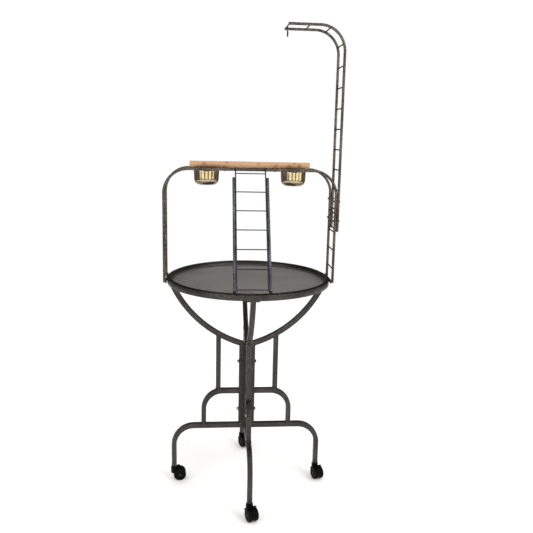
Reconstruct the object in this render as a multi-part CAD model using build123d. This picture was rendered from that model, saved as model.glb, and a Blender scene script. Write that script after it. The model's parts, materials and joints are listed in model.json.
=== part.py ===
from build123d import *
import math
import os

# A parrot play stand on casters: four welded base panels around a square post carry a ring
# with a drop-in pan. A twin-rail arch with a perch and two cups stands on the ring, a ladder
# hangs on the arch, and a twin-rail toy pole is screwed to the right-hand posts.
# Millimetres, +Z up, front is -Y, origin on the floor on the axis of the ring.

# ---- driving dimensions: base -------------------------------------------------------------
TUBE = 19.0                 # outside of the square base tube
TUBE_WALL = 1.5
LEG_END_Z = 60.0            # open lower end of each leg, above the floor
LEG_RADIUS = 291.0          # centreline of a leg, from the axis
LEG_BAR_Z = 235.0           # centreline of the lower horizontal
LEG_BEND = 80.0
ARCH_BAR_Z = 383.0          # centreline of the small arch's horizontal
ARCH_LEG_RADIUS = 171.5
ARCH_BEND = 75.0
STRUT_RADIUS = 114.0
SWEEP_CENTRE_R = -108.2     # centre and radius of the curved tube that carries the ring
SWEEP_CENTRE_Z = 1003.8
SWEEP_RADIUS = 442.0
POST = 25.4
POST_WALL = 1.5
SIDE_BOLT_Z = (304.5, 506.5)
FRONT_BOLT_Z = (290.0, 526.5)
PLUG_FLANGE = 3.0
PLUG_DEPTH = 28.0
POST_BOLT = 3.0             # radius of a centre bolt
POST_HOLE = 3.2
POST_HEX = 5.8              # corner radius of its head and nut
POST_HEAD = 4.0
BOLT_TAIL = 6.0             # thread past the washer, inside the dome nut
WASHER_RADIUS = 9.0
WASHER_THICK = 1.6
NUT_BODY = 5.0
NUT_DOME_RADIUS = 4.4
NUT_DOME = 3.0
THREAD_FIT = 0.05

# ---- driving dimensions: ring and pan -----------------------------------------------------
REST_GAP = 0.3              # left between a loose piece and what it rests on
RING_RADIUS = 312.5
RING_WALL = 4.0
RING_TOP_Z = 855.0
RING_HEIGHT = 21.0
LEDGE_WIDTH = 30.0
LEDGE_THICK = 3.0
TAB_THICK = 3.0
TAB_WIDTH = 44.0
TAB_INSET = 3.0             # how far a tab sits inwards of its screws
TAB_HOLE_EDGE = 5.0         # from a tab's side to a screw
TAB_LENGTH = 30.0
RING_BOLT_RADIUS = 300.5
SMALL_BOLT = 2.5            # radius of the ring and foot bolts
SMALL_HOLE = 2.7
SMALL_HEX = 4.6
SMALL_HEAD = 3.5
SMALL_NUT = 3.2
NUT_STAND_OFF = 1.2         # from the ring's inner face to a foot nut
PAN_RADIUS = 303.5
PAN_SHEET = 1.2
PAN_COVE = 12.0
PAN_LIP = 2.5               # radius of the rolled lip
PAN_LIP_Z = 856.5

# ---- driving dimensions: arch, perch and cups ---------------------------------------------
ROD = 10.0                  # diameter of the arch and pole rails
RAIL_Y = 60.0
ARCH_X = 320.5
ARCH_TOP_Z = 1268.0
ARCH_FOOT_Z = 843.0
ARCH_CORNER = 90.0
RUNG = 5.0
POST_RUNG_Z = 896.0
POST_RUNG_PITCH = 71.0
POST_RUNG_COUNT = 4
FOOT_PLATE = 3.0
FOOT_PLATE_Z = (840.0, 854.0)
FOOT_BOLT_Y = 20.0
STRAP_X = 95.0
STRAP_WIDTH = 16.0
STRAP_THICK = 4.0
PERCH_DIAMETER = 24.0
PERCH_LENGTH = 453.0
PERCH_Z = 1284.0
PEG_RADIUS = 3.0
PEG_DROP = 14.0
PEG_FIT = 0.4
PERCH_X = -0.7
PERCH_CHAMFER = 1.2
CUP_X = 164.0
CUP_RADIUS = 47.5
CUP_BOTTOM_Z = 1207.0
CUP_RING_WIRE = 4.0
CUP_RING_Z = 1262.5
CUP_RING_FIT = 3.3          # from the bowl's wall to the middle of the wire
CUP_SHEET = 1.0
CUP_CORNER = 22.0
CUP_TAPER = 4.0
CUP_BEAD = 1.4
BEAD_RISE = 2.6             # from the wire ring's middle to the bead that rests on it

# ---- driving dimensions: ladder -----------------------------------------------------------
LADDER_X = -3.0
LADDER_WIDTH = 134.0        # over both side rods
LADDER_ROD = 9.5
HOOK_WIRE = 4.8
HOOK_GAP = 0.4              # between a hook and the rail that it hangs on
HOOK_WRAP = 200             # degrees that a hook goes round the rail
LADDER_FOOT = 6.0           # radius of the dipped foot
FOOT_CUFF = 6.0             # the foot covers this much of its rod
FOOT_ROUND = 5.6
LADDER_FOOT_Y = -304.5
LADDER_RUNG = 3.8
LADDER_RUNG_START = 19.2
LADDER_RUNG_PITCH = 74.0
LADDER_RUNG_COUNT = 7
LADDER_ROD_START = 37.0
WIRE_SHORT = 0.6            # the wires end this far above the feet

# ---- driving dimensions: toy pole ---------------------------------------------------------
POLE_X = ARCH_X + ROD
POLE_FOOT_Z = 1041.0
POLE_TOP_Z = 1784.0
POLE_CORNER = 90.0
POLE_TIP_X = 124.0
POLE_RUNG_Z = 1045.0
POLE_RUNG_PITCH = 75.3
POLE_RUNG_COUNT = 13
POLE_SCREW_Z = (1082.0, 1156.0)
SCREW_RADIUS = 2.0
SCREW_HOLE = 2.1
SCREW_TAIL = 4.0
SCREW_HEAD_RADIUS = 3.6
SCREW_HEAD = 2.2
SCREW_NUT_HEX = 3.9
SCREW_NUT = 3.2
HOOK_ROD = 4.0
HOOK_DROP = 37.0            # from the pole's top line down to the hook's bend
HOOK_BEND = 8.0
HOOK_LIP = 9.0

# ---- driving dimensions: casters ----------------------------------------------------------
WHEEL_RADIUS = 25.0
WHEEL_WIDTH = 16.0
WHEEL_INNER = 3.6           # from the middle plane to the wheel's inner face
WHEEL_EDGE = 2.5
DISH_DEPTH = 2.0
DISH_RIM = 5.0
HUB_CAP = 8.0
AXLE_RADIUS = 3.0
AXLE_SHORT = 0.5            # the axle ends this far inside each outer face
TRAIL = 22.0                # from the swivel axis back to the axle
WEB_HALF = 3.0
WEB_SHORT = 2.5             # below the hood the web stops this far inside the wheels' edge
HOOD_GAP = 0.8
HOOD_THICK = 1.8
HOOD_LIP = 2.4              # raised edge along the back of the hood
HOOD_SKIRT_Z = 33.0         # the hood starts here, above the floor
STEM_RADIUS = 5.5
STEM_TOP_Z = 92.0
STEM_LOW_Z = 45.2
BOSS_RADIUS = 13.5
BOSS_TOP_Z = 56.7
BOSS_HEIGHT = 26.0
SWIVEL_FIT = 0.05
RUN_FIT = 0.06
# caster name: (angle of its leg about the stand's axis, direction in which its wheels trail)
CASTERS = {"left": (180.0, 5.0), "right": (0.0, -72.0), "front": (270.0, -70.0), "back": (90.0, -58.0)}

PANELS = {"right": 0.0, "back": 90.0, "left": 180.0, "front": 270.0}
PARTS_DIR = "parts"


def save(name, shape):
    export_step(shape, os.path.join(PARTS_DIR, name + ".step"))


def group(name, shapes):
    save(name, Compound(children=list(shapes)))


def rod_between(start, end, radius):
    """A round bar from one point to another."""
    direction = Vector(*end) - Vector(*start)
    plane = Plane(origin=start, z_dir=direction)
    return extrude(plane * Circle(radius), direction.length)


def swept(path, section_at_start):
    """A section carried along a path of straight runs and tangent arcs."""
    plane = Plane(origin=path @ 0, z_dir=path % 0)
    return sweep(plane * section_at_start, path=path)


def turned(shape, degrees):
    return shape.rotate(Axis.Z, degrees)


# ---- base ---------------------------------------------------------------------------------
TAB_HOLE_Y = TAB_WIDTH / 2 - TAB_HOLE_EDGE


def sweep_point(radius_from_axis):
    """A point on the ring-carrying tube's centreline, at a distance from the stand's axis."""
    across = radius_from_axis - SWEEP_CENTRE_R
    return (radius_from_axis, 0, SWEEP_CENTRE_Z - math.sqrt(SWEEP_RADIUS**2 - across**2))


def sweep_radius_at(height):
    """Distance from the axis where that centreline reaches a height."""
    drop = SWEEP_CENTRE_Z - height
    return SWEEP_CENTRE_R + math.sqrt(SWEEP_RADIUS**2 - drop**2)


def sweep_path(inner_r, outer_r):
    middle = sweep_point((inner_r + outer_r) / 2)
    return ThreePointArc(sweep_point(inner_r), middle, sweep_point(outer_r))


def leg_path(inner_r, low_z):
    return FilletPolyline((inner_r, 0, LEG_BAR_Z), (LEG_RADIUS, 0, LEG_BAR_Z), (LEG_RADIUS, 0, low_z),
                          radius=LEG_BEND)


def small_arch_path(inner_r, low_z):
    return FilletPolyline((inner_r, 0, ARCH_BAR_Z), (ARCH_LEG_RADIUS, 0, ARCH_BAR_Z),
                          (ARCH_LEG_RADIUS, 0, low_z), radius=ARCH_BEND)


def upright(radius_from_axis, low_z, high_z, section):
    return Pos(radius_from_axis, 0, low_z) * extrude(section, high_z - low_z)


def panel_tubes(square, reach):
    """All tubes of one panel as solid bars; reach lets the bores run into each other."""
    spine_r = POST / 2 + TUBE / 2
    half = TUBE / 2
    spine_face = spine_r + half - reach
    sweep_end = sweep_radius_at(RING_TOP_Z - RING_HEIGHT) + half
    sweep_tube = swept(sweep_path(POST / 2 - half, sweep_end), square)
    leg = swept(leg_path(spine_face, LEG_END_Z - reach), square)
    small_arch = swept(small_arch_path(spine_face, LEG_BAR_Z + half - reach), square)
    strut_top = sweep_point(STRUT_RADIUS)[2]
    strut = upright(STRUT_RADIUS, ARCH_BAR_Z + half - reach, strut_top, square)
    spine = upright(spine_r, LEG_BAR_Z - half - reach, sweep_point(spine_r)[2], square)
    return sweep_tube + leg + small_arch + strut + spine


def base_panel(angle, bolt_heights):
    bore_side = TUBE - 2 * TUBE_WALL
    outer = panel_tubes(Rectangle(TUBE, TUBE), 0.0)
    bore = panel_tubes(Rectangle(bore_side, bore_side), TUBE / 2)
    half_post = POST / 2
    tab_z = RING_TOP_Z - RING_HEIGHT - TAB_THICK
    trim_inner = Pos(half_post / 2 - TUBE, 0, LEG_BAR_Z + SWEEP_RADIUS / 2) * Box(
        half_post + 2 * TUBE, 3 * TUBE, 2 * SWEEP_RADIUS)
    trim_top = Pos(LEG_RADIUS, 0, tab_z + 2 * TUBE) * Box(4 * TUBE, 3 * TUBE, 4 * TUBE)
    panel = (outer - bore) - trim_inner - trim_top
    tab = Pos(RING_BOLT_RADIUS - TAB_INSET, 0, tab_z + TAB_THICK / 2) * Box(TAB_LENGTH, TAB_WIDTH, TAB_THICK)
    for side in (-1, 1):
        tab -= Pos(RING_BOLT_RADIUS, side * TAB_HOLE_Y, tab_z) * Cylinder(SMALL_HOLE, 4 * TAB_THICK)
    panel += tab
    for height in bolt_heights:
        panel -= Pos(0, 0, height) * Rot(0, 90, 0) * Cylinder(POST_HOLE, 4 * POST)
    return turned(panel, angle)


def centre_post():
    low = LEG_BAR_Z - TUBE / 2
    high = sweep_point(POST / 2)[2]
    bore_side = POST - 2 * POST_WALL
    outer = Rectangle(POST, POST)
    bore = Rectangle(bore_side, bore_side)
    post = Pos(0, 0, low) * extrude(outer - bore, high - low)
    for height in SIDE_BOLT_Z:
        post -= Pos(0, 0, height) * Rot(0, 90, 0) * Cylinder(POST_HOLE, 4 * POST)
    for height in FRONT_BOLT_Z:
        post -= Pos(0, 0, height) * Rot(90, 0, 0) * Cylinder(POST_HOLE, 4 * POST)
    return post


def centre_fasteners():
    """Through bolts of the post, their washers and their dome nuts, each list in the same order."""
    face = POST / 2 + TUBE
    bolts, washers, nuts = [], [], []
    for heights, turn in ((SIDE_BOLT_Z, 0.0), (FRONT_BOLT_Z, 90.0)):
        for height in heights:
            place = Pos(0, 0, height) * Rot(0, 0, turn) * Rot(0, 90, 0)
            far = face + WASHER_THICK
            shank = Pos(0, 0, -far - BOLT_TAIL) * extrude(Circle(POST_BOLT), 2 * far + BOLT_TAIL)
            head = Pos(0, 0, far) * extrude(RegularPolygon(POST_HEX, 6), POST_HEAD)
            bolts.append(place * (shank + head))
            washer = Cylinder(WASHER_RADIUS, WASHER_THICK) - Cylinder(POST_HOLE, WASHER_THICK)
            for side in (-1, 1):
                washers.append(place * Pos(0, 0, side * (face + WASHER_THICK / 2)) * washer)
            body = extrude(RegularPolygon(POST_HEX, 6), NUT_BODY) + extrude(
                Circle(NUT_DOME_RADIUS), NUT_BODY + NUT_DOME)
            body -= extrude(Circle(POST_BOLT + THREAD_FIT), BOLT_TAIL + THREAD_FIT)
            nuts.append(place * Pos(0, 0, -far) * Rot(180, 0, 0) * body)
    return bolts, washers, nuts


def leg_plug(angle):
    """Plastic insert that grips the caster stem inside the end of a leg."""
    bore = TUBE - 2 * TUBE_WALL
    body = Pos(LEG_RADIUS, 0, LEG_END_Z + PLUG_DEPTH / 2) * Box(bore, bore, PLUG_DEPTH)
    flange = Pos(LEG_RADIUS, 0, LEG_END_Z - PLUG_FLANGE / 2) * Box(TUBE, TUBE, PLUG_FLANGE)
    hole = Pos(LEG_RADIUS, 0, LEG_END_Z) * Cylinder(STEM_RADIUS, 4 * PLUG_DEPTH)
    return turned(body + flange - hole, angle)


# ---- ring and pan -------------------------------------------------------------------------
def ring():
    low = RING_TOP_Z - RING_HEIGHT
    inner = RING_RADIUS - RING_WALL
    ledge_r = inner - LEDGE_WIDTH + RING_WALL
    with BuildPart() as hoop:
        with BuildSketch(Plane.XZ):
            with BuildLine():
                Polyline((ledge_r, low), (RING_RADIUS, low), (RING_RADIUS, RING_TOP_Z), (inner, RING_TOP_Z),
                         (inner, low + LEDGE_THICK), (ledge_r, low + LEDGE_THICK), close=True)
            make_face()
        revolve(axis=Axis.Z)
    body = hoop.part
    for angle in PANELS.values():
        for side in (-1, 1):
            spot = Pos(RING_BOLT_RADIUS, side * TAB_HOLE_Y, low)
            body -= turned(spot * Cylinder(SMALL_HOLE, 4 * LEDGE_THICK), angle)
    bolt_z = sum(FOOT_PLATE_Z) / 2
    for x_side in (-1, 1):
        for y_side in (-1, 1):
            spot = Pos(x_side * RING_RADIUS, y_side * FOOT_BOLT_Y, bolt_z)
            body -= spot * Rot(0, 90, 0) * Cylinder(SMALL_HOLE, 6 * RING_WALL)
    return body


def ring_bolts():
    """Screws from below, through a tab into the ledge, flush with its upper face."""
    low = RING_TOP_Z - RING_HEIGHT
    top = low + LEDGE_THICK
    bolts = []
    for angle in PANELS.values():
        for side in (-1, 1):
            shank = Pos(0, 0, low - TAB_THICK) * extrude(Circle(SMALL_BOLT), top - low + TAB_THICK)
            head = Pos(0, 0, low - TAB_THICK - SMALL_HEAD) * extrude(RegularPolygon(SMALL_HEX, 6), SMALL_HEAD)
            spot = Pos(RING_BOLT_RADIUS, side * TAB_HOLE_Y, 0)
            bolts.append(turned(spot * (shank + head), angle))
    return bolts


def pan():
    floor_z = RING_TOP_Z - RING_HEIGHT + LEDGE_THICK + REST_GAP
    out_r = PAN_RADIUS
    in_r = PAN_RADIUS - PAN_SHEET
    flat_r = PAN_RADIUS - PAN_COVE
    cove_z = floor_z + PAN_COVE
    slant = math.sqrt(0.5)
    cove_out = PAN_COVE * slant
    cove_in = (PAN_COVE - PAN_SHEET) * slant
    with BuildPart() as dish:
        with BuildSketch(Plane.XZ):
            with BuildLine():
                Line((0, floor_z), (flat_r, floor_z))
                ThreePointArc((flat_r, floor_z), (flat_r + cove_out, cove_z - cove_out), (out_r, cove_z))
                Line((out_r, cove_z), (out_r, PAN_LIP_Z))
                Line((out_r, PAN_LIP_Z), (in_r, PAN_LIP_Z))
                Line((in_r, PAN_LIP_Z), (in_r, cove_z))
                ThreePointArc((in_r, cove_z), (flat_r + cove_in, cove_z - cove_in), (flat_r, floor_z + PAN_SHEET))
                Line((flat_r, floor_z + PAN_SHEET), (0, floor_z + PAN_SHEET))
                Line((0, floor_z + PAN_SHEET), (0, floor_z))
            make_face()
        revolve(axis=Axis.Z)
    lip = Pos(0, 0, PAN_LIP_Z) * Torus(PAN_RADIUS - PAN_SHEET / 2, PAN_LIP)
    return dish.part + lip


# ---- arch ---------------------------------------------------------------------------------
def arch_rail(y):
    path = FilletPolyline((-ARCH_X, y, ARCH_FOOT_Z), (-ARCH_X, y, ARCH_TOP_Z), (ARCH_X, y, ARCH_TOP_Z),
                          (ARCH_X, y, ARCH_FOOT_Z), radius=ARCH_CORNER)
    rail = swept(path, Circle(ROD / 2))
    for height in POLE_SCREW_Z:
        rail -= Pos(ARCH_X, y, height) * Rot(0, 90, 0) * Cylinder(SCREW_HOLE, 2 * ROD)
    return rail


def cross_rung(x, z, radius, rails):
    rung = Pos(x, 0, z) * Rot(90, 0, 0) * Cylinder(radius, 2 * RAIL_Y)
    return rung - rails


def arch_rungs(rails):
    heights = [POST_RUNG_Z + i * POST_RUNG_PITCH for i in range(POST_RUNG_COUNT)]
    return [cross_rung(side * ARCH_X, z, RUNG / 2, rails) for side in (-1, 1) for z in heights]


def foot_plate(side):
    """Flat bar across the feet of one pair of posts, bolted to the ring."""
    low, high = FOOT_PLATE_Z
    x = side * (RING_RADIUS + FOOT_PLATE / 2)
    plate = Pos(x, 0, (low + high) / 2) * Box(FOOT_PLATE, 2 * RAIL_Y + ROD, high - low)
    for y_side in (-1, 1):
        plate -= Pos(x, y_side * FOOT_BOLT_Y, (low + high) / 2) * Rot(0, 90, 0) * Cylinder(
            SMALL_HOLE, 4 * FOOT_PLATE)
    return plate


def foot_bolts():
    bolts, nuts = [], []
    z = sum(FOOT_PLATE_Z) / 2
    outer = RING_RADIUS + FOOT_PLATE
    inner = RING_RADIUS - RING_WALL - NUT_STAND_OFF - SMALL_NUT
    for x_side in (-1, 1):
        for y_side in (-1, 1):
            place = Pos(0, y_side * FOOT_BOLT_Y, z) * Rot(0, 90 * x_side, 0)
            shank = Pos(0, 0, inner) * extrude(Circle(SMALL_BOLT), outer - inner)
            head = Pos(0, 0, outer) * extrude(RegularPolygon(SMALL_HEX, 6), SMALL_HEAD)
            bolts.append(place * (shank + head))
            nut = extrude(RegularPolygon(SMALL_HEX, 6), SMALL_NUT)
            nut -= extrude(Circle(SMALL_BOLT + THREAD_FIT), SMALL_NUT)
            nuts.append(place * Pos(0, 0, inner) * nut)
    return bolts, nuts


def perch_strap(side, rails):
    z = PERCH_Z - PERCH_DIAMETER / 2 - REST_GAP - STRAP_THICK / 2
    strap = Pos(side * STRAP_X, 0, z) * Box(STRAP_WIDTH, 2 * RAIL_Y, STRAP_THICK)
    strap -= Pos(side * STRAP_X, 0, z) * Cylinder(PEG_RADIUS + PEG_FIT, 4 * STRAP_THICK)
    return strap - rails


def perch():
    bar = Pos(PERCH_X, 0, PERCH_Z) * Rot(0, 90, 0) * Cylinder(PERCH_DIAMETER / 2, PERCH_LENGTH)
    bar = chamfer(bar.edges(), PERCH_CHAMFER)
    for side in (-1, 1):
        bar -= Pos(side * STRAP_X, 0, PERCH_Z - PERCH_DIAMETER / 2) * Cylinder(PEG_RADIUS, PERCH_DIAMETER)
    return bar


def perch_pegs():
    bottom = PERCH_Z - PERCH_DIAMETER / 2
    return [Pos(side * STRAP_X, 0, bottom - PEG_DROP) * extrude(Circle(PEG_RADIUS), PEG_DROP + PERCH_DIAMETER / 2)
            for side in (-1, 1)]


def cup_ring(side, rails):
    """Wire hoop between the rails, with a short lug to each of them."""
    wire_r = CUP_RING_WIRE / 2
    hoop_r = CUP_RADIUS + CUP_RING_FIT
    hoop = Pos(side * CUP_X, 0, CUP_RING_Z) * Torus(hoop_r, wire_r)
    for y_side in (-1, 1):
        hoop += rod_between((side * CUP_X, y_side * hoop_r, CUP_RING_Z), (side * CUP_X, y_side * RAIL_Y, CUP_RING_Z),
                            wire_r)
    return hoop - rails


def cup(side):
    """Stainless bowl with a rounded bottom and a rolled bead that sits on the wire ring."""
    top = CUP_RING_Z + BEAD_RISE
    foot_r = CUP_RADIUS - CUP_TAPER
    height = top - CUP_BOTTOM_Z
    with BuildPart() as bowl:
        with BuildSketch(Plane.XZ):
            with BuildLine():
                outer = FilletPolyline((0, 0), (foot_r, 0), (CUP_RADIUS, height), radius=CUP_CORNER)
                Line((CUP_RADIUS, height), (CUP_RADIUS - CUP_SHEET, height))
                inner = FilletPolyline((CUP_RADIUS - CUP_SHEET, height), (foot_r - CUP_SHEET, CUP_SHEET),
                                       (0, CUP_SHEET), radius=CUP_CORNER - CUP_SHEET)
                Line((0, CUP_SHEET), (0, 0))
            make_face()
        revolve(axis=Axis.Z)
    bead = Pos(0, 0, height) * Torus(CUP_RADIUS + CUP_BEAD / 2, CUP_BEAD)
    return Pos(side * CUP_X, 0, CUP_BOTTOM_Z) * (bowl.part + bead)


# ---- ladder -------------------------------------------------------------------------------
HOOK_R = ROD / 2 + HOOK_GAP + HOOK_WIRE / 2
FOOT_Z = RING_TOP_Z + REST_GAP + LADDER_FOOT


def ladder_lean():
    """Angle from the vertical at which the side wires, tangent to their hooks, meet the feet."""
    down = ARCH_TOP_Z - FOOT_Z
    out = -RAIL_Y - LADDER_FOOT_Y
    return math.atan2(out, down) - math.asin(HOOK_R / math.hypot(down, out))


def ladder_point(x, s, lean):
    """A point in the ladder's plane, at a distance s down from where the hook starts."""
    y = -RAIL_Y - HOOK_R * math.cos(lean) - s * math.sin(lean)
    z = ARCH_TOP_Z + HOOK_R * math.sin(lean) - s * math.cos(lean)
    return (x, y, z)


def ladder_length(lean):
    return (ladder_point(0, 0, lean)[2] - FOOT_Z) / math.cos(lean)


def ladder_hook(x, lean):
    """Side wire with its hook, which goes over the rail and part of the way down behind it."""
    def on_hook(turn):
        return (x, -RAIL_Y - HOOK_R * math.cos(turn), ARCH_TOP_Z + HOOK_R * math.sin(turn))
    start = ladder_point(x, 0, lean)
    end = ladder_point(x, ladder_length(lean) - FOOT_CUFF - WIRE_SHORT, lean)
    wrap = math.radians(HOOK_WRAP)
    curl = ThreePointArc(on_hook(wrap), on_hook((wrap + lean) / 2), start)
    return swept(Wire([curl, Line(start, end)]), Circle(HOOK_WIRE / 2))


def ladder_parts():
    lean = ladder_lean()
    length = ladder_length(lean)
    rod_x = LADDER_WIDTH / 2 - LADDER_ROD / 2
    wire_x = rod_x - LADDER_ROD / 2 - HOOK_WIRE / 2
    hooks = [ladder_hook(LADDER_X + side * wire_x, lean) for side in (-1, 1)]
    rods, feet, rungs = {}, [], []
    for name, side in (("left", -1), ("right", 1)):
        x = LADDER_X + side * rod_x
        top = ladder_point(x, LADDER_ROD_START, lean)
        bottom = ladder_point(x, length - LADDER_FOOT / 2, lean)
        rods[name] = rod_between(top, bottom, LADDER_ROD / 2)
        cuff_top = ladder_point(x, length - FOOT_CUFF, lean)
        foot_end = ladder_point(x, length + LADDER_FOOT, lean)
        foot = rod_between(cuff_top, foot_end, LADDER_FOOT)
        foot = fillet(foot.edges().sort_by(Axis.Z)[0], FOOT_ROUND)
        feet.append(foot - rods[name])
    for i in range(LADDER_RUNG_COUNT):
        s = LADDER_RUNG_START + i * LADDER_RUNG_PITCH
        rung = rod_between(ladder_point(LADDER_X - wire_x, s, lean), ladder_point(LADDER_X + wire_x, s, lean),
                           LADDER_RUNG / 2)
        rungs.append(rung - hooks[0] - hooks[1])
    return rods, hooks, rungs, feet


# ---- toy pole -----------------------------------------------------------------------------
def pole_rail(y):
    path = FilletPolyline((POLE_X, y, POLE_FOOT_Z), (POLE_X, y, POLE_TOP_Z), (POLE_TIP_X, y, POLE_TOP_Z),
                          radius=POLE_CORNER)
    rail = swept(path, Circle(ROD / 2))
    for height in POLE_SCREW_Z:
        rail -= Pos(POLE_X, y, height) * Rot(0, 90, 0) * Cylinder(SCREW_HOLE, 2 * ROD)
    return rail


def pole_station(distance):
    """X and Z of a point on the pole's centreline, measured up from the lowest rung."""
    straight = POLE_TOP_Z - POLE_CORNER - POLE_RUNG_Z
    bend = POLE_CORNER * math.pi / 2
    if distance <= straight:
        return POLE_X, POLE_RUNG_Z + distance
    if distance <= straight + bend:
        turn = (distance - straight) / POLE_CORNER
        return (POLE_X - POLE_CORNER * (1 - math.cos(turn)), POLE_TOP_Z - POLE_CORNER * (1 - math.sin(turn)))
    return POLE_X - POLE_CORNER - (distance - straight - bend), POLE_TOP_Z


def pole_rungs(rails):
    rungs = []
    for i in range(POLE_RUNG_COUNT):
        x, z = pole_station(i * POLE_RUNG_PITCH)
        rungs.append(cross_rung(x, z, RUNG / 2, rails))
    return rungs


def pole_screws():
    """Machine screws through a pole rail and the post beside it, each with its own nut."""
    screws, nuts = [], []
    for y in (-RAIL_Y, RAIL_Y):
        for height in POLE_SCREW_Z:
            place = Pos(0, y, height) * Rot(0, 90, 0)
            inner = ARCH_X - ROD / 2
            outer = POLE_X + ROD / 2
            shank = Pos(0, 0, inner - SCREW_TAIL) * extrude(Circle(SCREW_RADIUS), outer - inner + SCREW_TAIL)
            head = Pos(0, 0, outer) * extrude(Circle(SCREW_HEAD_RADIUS), SCREW_HEAD)
            screws.append(place * (shank + head))
            nut = extrude(RegularPolygon(SCREW_NUT_HEX, 6), SCREW_NUT)
            nut -= extrude(Circle(SCREW_RADIUS + THREAD_FIT), SCREW_NUT)
            nuts.append(place * Pos(0, 0, inner - SCREW_NUT) * nut)
    return screws, nuts


def toy_hook(end_rung):
    """Open J hook under the middle of the pole's last rung, opening to the front."""
    x = pole_station((POLE_RUNG_COUNT - 1) * POLE_RUNG_PITCH)[0]
    bend_z = POLE_TOP_Z - HOOK_DROP + HOOK_BEND
    neck = (x, 0, bend_z)
    lowest = (x, -HOOK_BEND, bend_z - HOOK_BEND)
    turn_end = (x, -2 * HOOK_BEND, bend_z)
    lip = (x, -2 * HOOK_BEND, bend_z + HOOK_LIP)
    path = Wire([Line((x, 0, POLE_TOP_Z), neck), ThreePointArc(neck, lowest, turn_end), Line(turn_end, lip)])
    return swept(path, Circle(HOOK_ROD / 2)) - end_rung


# ---- casters ------------------------------------------------------------------------------
# Each piece is made round its axle: X away from the swivel axis, Y up, Z along the axle.
def wheel_side(side):
    """One wheel of a pair, on its own bore: tyre, dished outer face and a small hub cap."""
    body = fillet(Cylinder(WHEEL_RADIUS, WHEEL_WIDTH).edges(), WHEEL_EDGE)
    dish = Cylinder(WHEEL_RADIUS - DISH_RIM, 2 * DISH_DEPTH) - Cylinder(HUB_CAP, 2 * DISH_DEPTH)
    body -= Pos(0, 0, side * WHEEL_WIDTH / 2) * dish
    body -= Cylinder(AXLE_RADIUS + RUN_FIT, 2 * WHEEL_WIDTH)
    return Pos(0, 0, side * (WHEEL_INNER + WHEEL_WIDTH / 2)) * body


def caster_axle():
    return Cylinder(AXLE_RADIUS, 2 * (WHEEL_INNER + WHEEL_WIDTH - AXLE_SHORT))


def hood_shell():
    """Curved cover over the leading half of the wheels, with a raised edge along its back."""
    inside = WHEEL_RADIUS + HOOD_GAP
    half = WHEEL_INNER + WHEEL_WIDTH
    outer = Circle(inside + HOOD_THICK) - Circle(inside)
    lip = Circle(inside + HOOD_LIP) - Circle(inside)
    skirt = HOOD_SKIRT_Z - WHEEL_RADIUS
    front = Pos(-WHEEL_RADIUS, skirt + WHEEL_RADIUS) * Rectangle(2 * WHEEL_RADIUS, 2 * WHEEL_RADIUS)
    back = Pos(-HOOD_LIP, skirt + WHEEL_RADIUS) * Rectangle(2 * HOOD_LIP, 2 * WHEEL_RADIUS)
    return extrude(outer & front, half, both=True) + extrude(lip & back, half, both=True)


def caster_housing():
    """Boss round the stem, web between the wheels, and the hood."""
    shell_r = WHEEL_RADIUS + HOOD_GAP
    half = WHEEL_INNER + WHEEL_WIDTH
    above_skirt = Pos(0, HOOD_SKIRT_Z) * Rectangle(4 * WHEEL_RADIUS, 2 * WHEEL_RADIUS)
    web = extrude(Circle(WHEEL_RADIUS - WEB_SHORT) + (Circle(shell_r) & above_skirt), WEB_HALF, both=True)
    at_boss = Pos(-TRAIL, BOSS_TOP_Z - WHEEL_RADIUS - BOSS_HEIGHT / 2, 0) * Rot(90, 0, 0)
    wheel_space = extrude(Circle(shell_r), 2 * half, both=True) - extrude(Circle(shell_r), WEB_HALF, both=True)
    body = web + hood_shell() + (at_boss * Cylinder(BOSS_RADIUS, BOSS_HEIGHT) - wheel_space)
    body -= Cylinder(AXLE_RADIUS, 2 * half)
    hole_floor = STEM_LOW_Z - WHEEL_RADIUS - SWIVEL_FIT
    hole = extrude(Circle(STEM_RADIUS + SWIVEL_FIT), 2 * BOSS_HEIGHT)
    return body - Pos(-TRAIL, hole_floor, 0) * Rot(-90, 0, 0) * hole


def place_caster(shape, angle, heading):
    """From the axle frame to the foot of the leg at an angle, with the wheels trailing in a heading."""
    at_axle = Pos(TRAIL, 0, WHEEL_RADIUS) * shape.rotate(Axis.X, 90)
    x = LEG_RADIUS * math.cos(math.radians(angle))
    y = LEG_RADIUS * math.sin(math.radians(angle))
    return Pos(x, y, 0) * turned(at_axle, heading)


def caster_stem(angle):
    """Round stem from the leg's plug down into the boss, where the caster turns on it."""
    stem = extrude(Circle(STEM_RADIUS), STEM_TOP_Z - STEM_LOW_Z)
    return turned(Pos(LEG_RADIUS, 0, STEM_LOW_Z) * stem, angle)


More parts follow.
